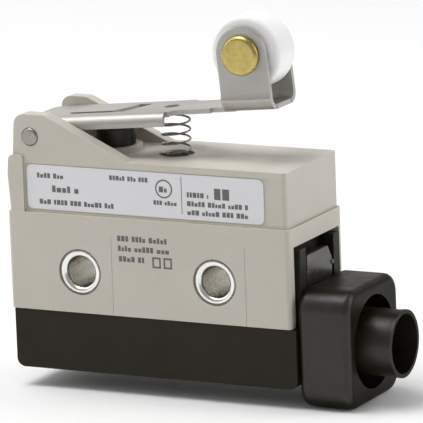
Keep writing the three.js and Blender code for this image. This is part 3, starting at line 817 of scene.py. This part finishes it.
# ---------------------------------------------------------------------------------------------
# Printing: rows of plain bars in place of any lettering
# ---------------------------------------------------------------------------------------------

INK = 0.012
INK_SUNK = 0.002
PRINT_SEED = 12
RING = {"inner": 1.35, "outer": 1.6, "x": 3.6, "z": 15.3}
BOX_LINE = 0.32


def text_row(x0, x1, z, height, rng):
    """A row of small blocks the size of letters, with gaps like those between words."""
    blocks = []
    x = x0
    letters = rng.randint(3, 5)
    while x < x1 - 0.3 * height:
        end = min(x + height * rng.uniform(0.45, 0.8), x1)
        blocks.append((x, end, z - height / 2, z + height * rng.choice((0.2, 0.5, 0.5))))
        letters -= 1
        gap = 0.17 if letters else 0.7
        x = end + height * gap
        letters = letters or rng.randint(3, 5)
    return blocks


def open_box(x0, x1, z0, z1):
    """The four bars of an outlined box."""
    line = BOX_LINE
    return [
        (x0, x1, z0, z0 + line),
        (x0, x1, z1 - line, z1),
        (x0, x0 + line, z0 + line, z1 - line),
        (x1 - line, x1, z0 + line, z1 - line),
    ]


def printed_bars(name, bars, face_y):
    """One mesh of thin raised bars on a front face."""
    vertices = []
    faces = []
    for x0, x1, z0, z1 in bars:
        base = len(vertices)
        for y in (face_y - INK, face_y + INK_SUNK):
            vertices += [(x0, y, z0), (x1, y, z0), (x1, y, z1), (x0, y, z1)]
        quads = [(0, 1, 2, 3), (4, 7, 6, 5), (0, 4, 5, 1), (1, 5, 6, 2), (2, 6, 7, 3), (3, 7, 4, 0)]
        faces += [tuple(base + i for i in quad) for quad in quads]
    return mesh_object(name, vertices, faces)


def printing():
    """Rows, a ring and a divider on the label, and rows and two boxes on the case."""
    rng = random.Random(PRINT_SEED)
    label = [
        *text_row(-20.4, -15.4, 16.2, 0.85, rng),
        *text_row(-17.6, -12.4, 14.0, 1.15, rng),
        *text_row(-20.1, -5.9, 11.7, 0.85, rng),
        *text_row(-6.6, 0.7, 16.6, 0.8, rng),
        *text_row(1.6, 6.1, 12.9, 0.75, rng),
        *text_row(2.7, 4.5, 15.2, 1.0, rng),
        (6.85, 6.98, 11.3, 17.6),
        *text_row(7.9, 11.9, 14.6, 0.85, rng),
        *text_row(13.0, 16.4, 15.0, 1.9, rng),
        *text_row(7.9, 19.4, 13.1, 0.85, rng),
        *text_row(7.9, 19.4, 11.6, 0.85, rng),
    ]
    place(printed_bars("label_print", label, PLATE_LOW.y), "case", "nameplate_film", material=INK_FINISH)
    y0, y1 = PLATE_LOW.y - INK, PLATE_LOW.y + INK_SUNK
    inner, outer = RING["inner"], RING["outer"]
    profile = [(inner, y0), (outer, y0), (outer, y1), (inner, y1)]
    ring = lathe("label_ring", profile, "Y", Vector((RING["x"], 0, RING["z"])))
    place(ring, "case", "nameplate_film", material=INK_FINISH)
    case = [
        *text_row(-5.3, 4.4, 6.4, 0.95, rng),
        *text_row(-5.2, 4.6, 4.7, 0.95, rng),
        *text_row(-5.1, -0.2, 2.9, 0.95, rng),
        *open_box(1.2, 2.8, 1.7, 3.6),
        *open_box(3.3, 4.9, 1.7, 3.6),
    ]
    place(printed_bars("case_print", case, FRONT), "case", "case_plastic", material=INK_FINISH)


# ---------------------------------------------------------------------------------------------
# Terminal cover, latch and cable boot
# ---------------------------------------------------------------------------------------------

COVER = {"x1": 27.4, "end_wall": 24.6, "wall": 1.4}
END_BLOCK = {"half": 7.6, "lift": 0.4, "z1": -5.0}
END_FRAME = {"x0": 24.5, "z0": -6.0, "z1": 6.0}
END_PLATE = {"x0": 23.9, "x1": 24.7, "half": 8.3, "z0": -6.0, "z1": 6.4}
PLINTH = {"x0": 27.0, "x1": 30.4, "half": 6.2, "z0": -16.4, "z1": -4.6}
LATCH_HALF = 4.75
LATCH_GAP = 0.6
CATCH = {"inset": 0.3, "half": 0.4, "z0": 1.1, "z1": 1.8}


def slab(x0, x1, half, z0, z1):
    """A block across the middle plane."""
    return block("tool", x0, x1, MID - half, MID + half, z0, z1)


def terminal_cover():
    """The tray under the case, with the end frame round the latch and the plinth for the boot."""
    x0, x1, z0, z1 = COVER_LOW.x, COVER["x1"], COVER_LOW.z, CASE_LOW.z - 0.1
    y0, y1 = COVER_LOW.y, COVER_HIGH.y
    wall, end_wall = COVER["wall"], COVER["end_wall"]
    outline = rounded([(x0, z0, 1.5), (x1, z0, 1.5), (x1, z1, 0), (x0, z1, 0)])
    body = prism("terminal_cover_shell", outline, "Y", y0, y1)
    cut(body, block("tool", x0 + wall, end_wall, y0 + wall, y1 - wall, z0 + wall, z1 + OVER))
    half = END_BLOCK["half"]
    end_frame = slab(END_FRAME["x0"], x1, half, END_FRAME["z0"], END_FRAME["z1"])
    sill, head = LATCH_LOW.z - 0.3, END_FRAME["z1"] + OVER
    cut(end_frame, slab(END_FRAME["x0"] - 0.5, x1 + 0.6, LATCH_HALF + LATCH_GAP, sill, head))
    join(
        body,
        slab(end_wall, x1, half, z0 + END_BLOCK["lift"], END_BLOCK["z1"]),
        end_frame,
        slab(END_PLATE["x0"], END_PLATE["x1"], END_PLATE["half"], END_PLATE["z0"], END_PLATE["z1"]),
        slab(PLINTH["x0"], PLINTH["x1"], PLINTH["half"], PLINTH["z0"], PLINTH["z1"]),
    )
    cut(body, rod("tool", CORD_BORE, "X", 20, 32, INLET_AXIS))
    soften(body, 0.3)
    return place(body, "cover", "cover_plastic", "terminal_cover")


def cover_latch():
    """The release tongue: one top corner cut off, and a catch on each side."""
    low, high = LATCH_LOW, LATCH_HIGH
    half = LATCH_HALF
    outline = rounded(
        [
            (MID - half, low.z, 0),
            (MID + half, low.z, 0),
            (MID + half, high.z - 2.2, 0.5),
            (MID + half - 1.5, high.z, 0.5),
            (MID - half, high.z, 0.3),
        ]
    )
    tongue = prism("latch_tongue", outline, "X", low.x, high.x - 0.2)
    for side in (-1, 1):
        y = MID + side * half
        y0, y1 = y - CATCH["half"], y + CATCH["half"]
        join(tongue, block("tool", low.x + CATCH["inset"], high.x, y0, y1, CATCH["z0"], CATCH["z1"]))
    soften(tongue, 0.14)
    # The latch gets the lighter copy of the cover plastic, a painted highlight.
    return place(tongue, "latch", "cover_plastic", "cover_latch", material=LATCH_FINISH)


BOOT = {"end": 37.0, "corner": 3.6, "recess_r": 7.95, "recess_depth": 5.8, "mouth_r": 5.1}


def cable_boot():
    """A soft-cornered block with a round recess, out of which the cord's nozzle stands."""
    low, high = BOOT_LOW, BOOT_HIGH
    end = BOOT["end"]
    outline = rect(low.y, high.y, low.z, high.z, BOOT["corner"])
    body = prism("boot_block", outline, "X", low.x, end)
    soften(body, 1.3, 8)
    recess = (end - BOOT["recess_depth"], end + OVER)
    cut(body, rod("tool", BOOT["recess_r"], "X", *recess, INLET_AXIS, 96))
    nozzle = [
        (0, end - 7),
        (6.1, end - 7),
        (5.75, end - 5),
        (5.65, high.x - 1.2),
        (5.75, high.x - 0.5),
        (5.75, high.x),
        (0, high.x),
    ]
    join(body, lathe("tool", nozzle, "X", INLET_AXIS))
    gap = 0.2
    sill, head = PLINTH["z0"] - gap, PLINTH["z1"] + gap
    cut(
        body,
        slab(low.x - OVER, PLINTH["x1"] + gap, PLINTH["half"] + gap, sill, head),
        rod("tool", CORD_BORE, "X", low.x - OVER, high.x + OVER, INLET_AXIS, 96),
        rod("tool", BOOT["mouth_r"], "X", end - 5.0, high.x + OVER, INLET_AXIS, 96),
    )
    soften(body, 0.22, 3, 50)
    return place(body, "cover", "black_rubber", "cable_boot")


# ---------------------------------------------------------------------------------------------
# Lever and roller, drawn flat in the lever's own frame and then raised by its rest angle
# ---------------------------------------------------------------------------------------------

SHEET = 0.8
SHEET_TOP = 2.5
LEVER_HALF = 6.85
LEVER_BEND = 1.7
HINGE_R = 2.4
STRIP_HALF = 4.3
NECK_HALF = 3.6
FORK = {"u0": 34.45, "u1": 43.65, "half": 4.7, "bend": 2.0}
BEAD = [(0.1, 3.4), (-0.25, 2.2), (-0.25, 1.7), (0.4, 0.8)]
SLIT = {"length": 0.7, "half": 0.12, "height": 1.2}
WINDOW = {"start": 4.9, "front": 15.0, "back": 17.3, "half": 3.3}
TONGUE = {"proud": 0.14, "bend_start": 12, "bend": 0.015, "side_gap": 0.5, "end_gap": 2.3}
HOLE = {"r": 1.3, "u": 22.5}
ROLLER_U = 39.05
ROLLER_W = 11.24


def raise_lever(obj):
    """From the lever's frame, whose origin is the pivot, to the object's frame."""
    place_at = Matrix.Translation((PIVOT.x, MID, PIVOT.z))
    obj.data.transform(place_at @ Matrix.Rotation(-LEVER_RISE, 4, "Y"))
    return obj


def channel_outline(half, web, leg_end, bend, steps=10):
    """A folded channel in (y, w): outer bends and inner bends share their centres."""
    inner = bend - SHEET
    side = SHEET if leg_end > web else -SHEET
    outer_web, inner_web = web, web + side
    corners = [
        (-half, leg_end, 0.15),
        (-half, outer_web, bend),
        (half, outer_web, bend),
        (half, leg_end, 0.15),
        (half - SHEET, leg_end, 0.15),
        (half - SHEET, inner_web, inner),
        (-half + SHEET, inner_web, inner),
        (-half + SHEET, leg_end, 0.15),
    ]
    return rounded(corners, steps)


def lever_blank():
    """The flanged channel with its hinge cheeks, and the flat strip that leads to the fork."""
    top, bottom = SHEET_TOP, SHEET_TOP - SHEET
    channel = channel_outline(LEVER_HALF, top, 0.2, LEVER_BEND)
    body = prism("lever_sheet", channel, "X", -1.2, 24.0)
    half = LEVER_HALF - LEVER_BEND
    join(body, prism("tool", rect(-HINGE_R, 3.6, -half, half, 1.6), "Z", bottom, top))
    for side in (-1, 1):
        y0, y1 = sorted((side * LEVER_HALF, side * (LEVER_HALF - SHEET)))
        join(body, rod("tool", HINGE_R, "Y", y0, y1, Vector((0, 0, 0))))
    edge = [
        (23.0, 5.45, 0),
        (24.5, 5.45, 0.5),
        (25.6, STRIP_HALF, 0.8),
        (31.9, STRIP_HALF, 0.3),
        (31.9, NECK_HALF, 0.3),
        (36.2, NECK_HALF, 0),
    ]
    mirrored = [(u, -y, r) for u, y, r in reversed(edge)]
    join(body, prism("tool", rounded(edge + mirrored, 5), "Z", bottom, top))
    return body


def lever_fork():
    """The roller's fork, with round-topped ears, a bead on the front bend and relief slits."""
    u0, u1, half = FORK["u0"], FORK["u1"], FORK["half"]
    web = SHEET_TOP - SHEET
    radius = (u1 - u0) / 2
    fork = prism("tool", channel_outline(half, web, ROLLER_W + 8, FORK["bend"]), "X", u0, u1)
    ear = [
        (u0, web - 1, 0),
        (u1, web - 1, 0),
        (u1 - 0.1, ROLLER_W + radius, radius - 0.06),
        (u0 + 0.1, ROLLER_W + radius, radius - 0.06),
    ]
    boolean(fork, prism("tool", rounded(ear, 24), "Y", -6, 6), "INTERSECT")
    bead = [(y - half, web + w) for y, w in BEAD]
    join(fork, prism("tool", bead, "X", u0, u1))
    start, slit_top = u1 - SLIT["length"], web + SLIT["height"]
    for side in (-1, 1):
        y = side * (half - FORK["bend"])
        y0, y1 = y - SLIT["half"], y + SLIT["half"]
        cut(fork, block("tool", start, u1 + OVER, y0, y1, web - OVER, slit_top))
    return fork


def window_outline(start, side_gap=0, end_gap=0):
    """The lanced window in the sheet, drawn inwards by the gaps. Its far end is askew."""
    half = WINDOW["half"] - side_gap
    return [
        (start, -half),
        (WINDOW["front"] - end_gap, -half),
        (WINDOW["back"] - end_gap, half),
        (start, half),
    ]


def lever_tongue():
    """The lanced tongue, just proud of the sheet, with its tip bent down."""
    steps = 14
    start = WINDOW["start"] - 0.5
    root = SHEET_TOP + TONGUE["proud"]
    top_line = []
    for i in range(steps + 1):
        u = start + (WINDOW["back"] - start) * i / steps
        top_line.append((u, root - TONGUE["bend"] * max(u - TONGUE["bend_start"], 0) ** 2))
    bottom_line = [(u, w - SHEET) for u, w in reversed(top_line)]
    tongue = prism("tool", top_line + bottom_line, "Y", -WINDOW["half"], WINDOW["half"])
    outline = window_outline(start, TONGUE["side_gap"], TONGUE["end_gap"])
    boolean(tongue, prism("tool", outline, "Z", -3, 5), "INTERSECT")
    return tongue


def lever():
    """The whole pressed lever: blank and fork, then its window and bores, then the tongue."""
    low, high = SHEET_TOP - SHEET - OVER, SHEET_TOP + OVER
    body = join(lever_blank(), lever_fork())
    cut(
        body,
        prism("tool", window_outline(WINDOW["start"]), "Z", low, high),
        rod("tool", HOLE["r"], "Z", low, high, Vector((HOLE["u"], 0, 0))),
        rod("tool", PIN_BORE, "Y", -8, 8, Vector((0, 0, 0))),
        rod("tool", AXLE_BORE, "Y", -6, 6, Vector((ROLLER_U, 0, ROLLER_W))),
    )
    join(body, lever_tongue())
    soften(body, 0.09, 2, 50)
    return place(raise_lever(body), "lever", "stainless", "lever")


def roller():
    """The wheel, with rounded shoulders and slightly proud hub faces."""
    radius = (ROLLER_HIGH.x - ROLLER_LOW.x) / 2
    half = (ROLLER_HIGH.y - ROLLER_LOW.y) / 2
    corners = [
        (AXLE_BORE, -half, 0.3),
        (radius - 2.0, -half, 0),
        (radius, -half + 0.2, 0.8),
        (radius, half - 0.2, 0.8),
        (radius - 2.0, half, 0),
        (AXLE_BORE, half, 0.3),
    ]
    wheel = lathe("roller_wheel", rounded(corners), "Y", Vector((ROLLER.x, MID, ROLLER.z)), 128)
    return place(wheel, "roller", "roller_nylon", "roller")


RIVET = {"shank": 2.0, "head": 3.4, "tail": 3.0}


def roller_rivet():
    """The roller's axle, with a wider head in front and a smaller one behind."""
    seat = FORK["half"] + 0.05
    shank, head, tail = RIVET["shank"], RIVET["head"], RIVET["tail"]
    corners = [
        (0, -seat - 1.0, 0),
        (head, -seat - 0.95, 0.75),
        (head, -seat, 0.08),
        (shank, -seat, 0),
        (shank, seat, 0),
        (tail, seat, 0.08),
        (tail, seat + 0.85, 0.6),
        (0, seat + 0.9, 0),
    ]
    rivet = lathe("rivet", rounded(corners, closed=False), "Y", Vector((ROLLER.x, MID, ROLLER.z)))
    return place(rivet, "lever", "brass", "roller_rivet")


def hinge_pin():
    """A plain pin with softened ends, which stands a little proud of the back ear."""
    radius = (PIN_HIGH.x - PIN_LOW.x) / 2
    front, back = PIN_LOW.y, EAR["back"] + 0.15
    corners = [
        (0, front, 0),
        (radius, front + 0.05, 0.4),
        (radius, back - 0.05, 0.4),
        (0, back, 0),
    ]
    pin = lathe("pivot_pin", rounded(corners, closed=False), "Y", Vector((PIVOT.x, 0, PIVOT.z)))
    return place(pin, "case", "stainless", "hinge_pin", material=PIN_FINISH)


# ---------------------------------------------------------------------------------------------
# Springs and plunger cap
# ---------------------------------------------------------------------------------------------


def coil(name, centre_x, radius, wire, low, high, turns):
    """A wound spring between two heights whose first turn is closed."""
    z0, z1 = low + wire, high - wire
    closed = 2.2 * wire
    pitch = (z1 - z0 - closed) / (turns - 1)
    steps = round(turns * 40)
    points = []
    for i in range(steps + 1):
        turn = turns * i / steps
        angle = 2 * math.pi * turn
        x, y = radius * math.cos(angle), radius * math.sin(angle)
        height = z0 + closed * min(turn, 1) + pitch * max(turn - 1, 0)
        points.append(Vector((centre_x + x, MID + y, height)))
    return tube(name, points, wire)


def return_spring():
    """The lever's spring, standing in the roof's well."""
    low, high = SPRING_LOW.z, SPRING_HIGH.z
    spring = coil("spring_coil", SPRING_X, 2.4, 0.17, low, high, 7.75)
    place(spring, "case", "spring_wire", "return_spring")
    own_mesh(spring)
    return spring


def overtravel_spring():
    """The small spring between plunger and pusher."""
    low, high = OVERTRAVEL_LOW.z, OVERTRAVEL_HIGH.z
    spring = coil("overtravel_coil", PLUNGER_X, 1.35, 0.2, low, high, 6)
    place(spring, "pusher", "spring_wire", "overtravel_spring")
    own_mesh(spring)
    return spring


CAP = {"dome": 1.2, "wall": 0.7, "roof": 1.3, "steps": 12}


def plunger_cap():
    """A hollow, domed rubber cap, drawn at its rest height. The real cap shortens as the plunger goes down.
    """
    radius = (CAP_HIGH.x - CAP_LOW.x) / 2
    z0, z1 = CAP_LOW.z, CAP_HIGH.z
    shoulder = z1 - CAP["dome"]
    inner, roof = radius - CAP["wall"], z1 - CAP["roof"]
    steps = CAP["steps"]
    dome = [(radius * k / steps, z1 - CAP["dome"] * (k / steps) ** 2) for k in range(steps - 1, -1, -1)]
    corners = [(inner, z0, 0), (radius, z0, 0.15), (radius, shoulder, 0.5), dome[0] + (0,)]
    side = rounded(corners, closed=False)
    outline = [*side[1:], *dome[1:], (0, roof), (inner, roof), (inner, z0)]
    cap = lathe("rubber_cap", outline[::-1], "Z", PLUNGER_AXIS)
    place(cap, "case", "black_rubber", "plunger_cap")
    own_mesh(cap)
    return cap


# ---------------------------------------------------------------------------------------------
# Assembly
# ---------------------------------------------------------------------------------------------

lower_case()
upper_housing()
nameplate()
printing()
terminal_cover()
cover_latch()
cable_boot()
lever()
roller()
roller_rivet()
hinge_pin()
return_spring()
overtravel_spring()
plunger_cap()
for side in SLEEVES:
    mounting_sleeve(side)

for entry in frame["record"]["subparts"]:
    node = frame["nodes"][entry["node"]]
    node.data.materials.clear()
    node.data.materials.append(MATERIALS[entry["material_slot"]])

# ---------------------------------------------------------------------------------------------
# Stage, lights and camera
# ---------------------------------------------------------------------------------------------

FLOOR_Z = cad_box[0][2] - 0.0001
FLOOR_HALF = 3.0
CAMERA = {"azimuth": 27.17, "elevation": 12.32, "roll": -2.11, "distance": 0.8317, "lens": 420.2}
AIM = (6.761, -9.0, 9.344)
SOFTBOXES = {
    "overhead": {"place": (-0.28, -0.14, 0.85), "aim": (0, 0, 0), "size": (0.55, 0.55), "power": 5.8},
    "backdrop": {"place": (-0.5, 1.1, 0.45), "aim": (0, 0, 0.1), "size": (2.2, 0.9), "power": 5.0},
    "front_left": {"place": (-0.57, -0.27, 0.3), "aim": (0, 0, 0), "size": (0.35, 0.5), "power": 0.9},
    "right_back": {"place": (0.57, 0.27, 0.3), "aim": (0, 0, 0), "size": (0.35, 0.5), "power": 1.75},
}


def floor():
    """A plain pale sheet just under the object."""
    mesh = bpy.data.meshes.new("floor")
    signs = ((-1, -1), (1, -1), (1, 1), (-1, 1))
    corners = [(a * FLOOR_HALF, b * FLOOR_HALF, FLOOR_Z) for a, b in signs]
    mesh.from_pydata(corners, [], [(0, 1, 2, 3)])
    obj = bpy.data.objects.new("floor", mesh)
    bpy.context.scene.collection.objects.link(obj)
    s = Shader("floor_paper", (0.95, 0.95, 0.95), 0.9)
    s.mottle(s.noise(3, 2), 0.3, 0.7, 1.0, (0.94, 0.94, 0.94))
    mesh.materials.append(s.material)


def world_light(colour, strength):
    """Even light from all round."""
    world = bpy.data.worlds.new("studio")
    bpy.context.scene.world = world
    world.use_nodes = True
    background = world.node_tree.nodes["Background"]
    background.inputs["Color"].default_value = (*colour, 1)
    background.inputs["Strength"].default_value = strength


def softbox(name, box):
    """A rectangular area light that faces its aim."""
    data = bpy.data.lights.new(name, "AREA")
    data.shape = "RECTANGLE"
    data.size, data.size_y = box["size"]
    data.energy = box["power"]
    obj = bpy.data.objects.new(name, data)
    obj.location = box["place"]
    direction = Vector(box["aim"]) - Vector(box["place"])
    obj.rotation_euler = direction.to_track_quat("-Z", "Y").to_euler()
    bpy.context.scene.collection.objects.link(obj)


def camera():
    """A long lens to the right of and above the front, rolled slightly."""
    azimuth, elevation = math.radians(CAMERA["azimuth"]), math.radians(CAMERA["elevation"])
    roll = math.radians(CAMERA["roll"])
    aim = Vector(AIM) * MM
    back = Vector(
        (
            math.sin(azimuth) * math.cos(elevation),
            -math.cos(azimuth) * math.cos(elevation),
            math.sin(elevation),
        )
    )
    right = (-back).cross(Vector((0, 0, 1))).normalized()
    up = right.cross(-back)
    x_axis = right * math.cos(roll) + up * math.sin(roll)
    y_axis = -right * math.sin(roll) + up * math.cos(roll)
    data = bpy.data.cameras.new("camera")
    data.sensor_width = 36.0
    data.lens = CAMERA["lens"]
    data.clip_end = 20.0
    obj = bpy.data.objects.new("camera", data)
    turn = Matrix((x_axis, y_axis, back)).transposed().to_4x4()
    obj.matrix_world = Matrix.Translation(aim + back * CAMERA["distance"]) @ turn
    bpy.context.scene.collection.objects.link(obj)
    bpy.context.scene.camera = obj


floor()
world_light((1.0, 1.0, 1.0), 0.3)
for light_name, light_box in SOFTBOXES.items():
    softbox(light_name, light_box)
camera()
bpy.context.scene.view_settings.view_transform = "Standard"
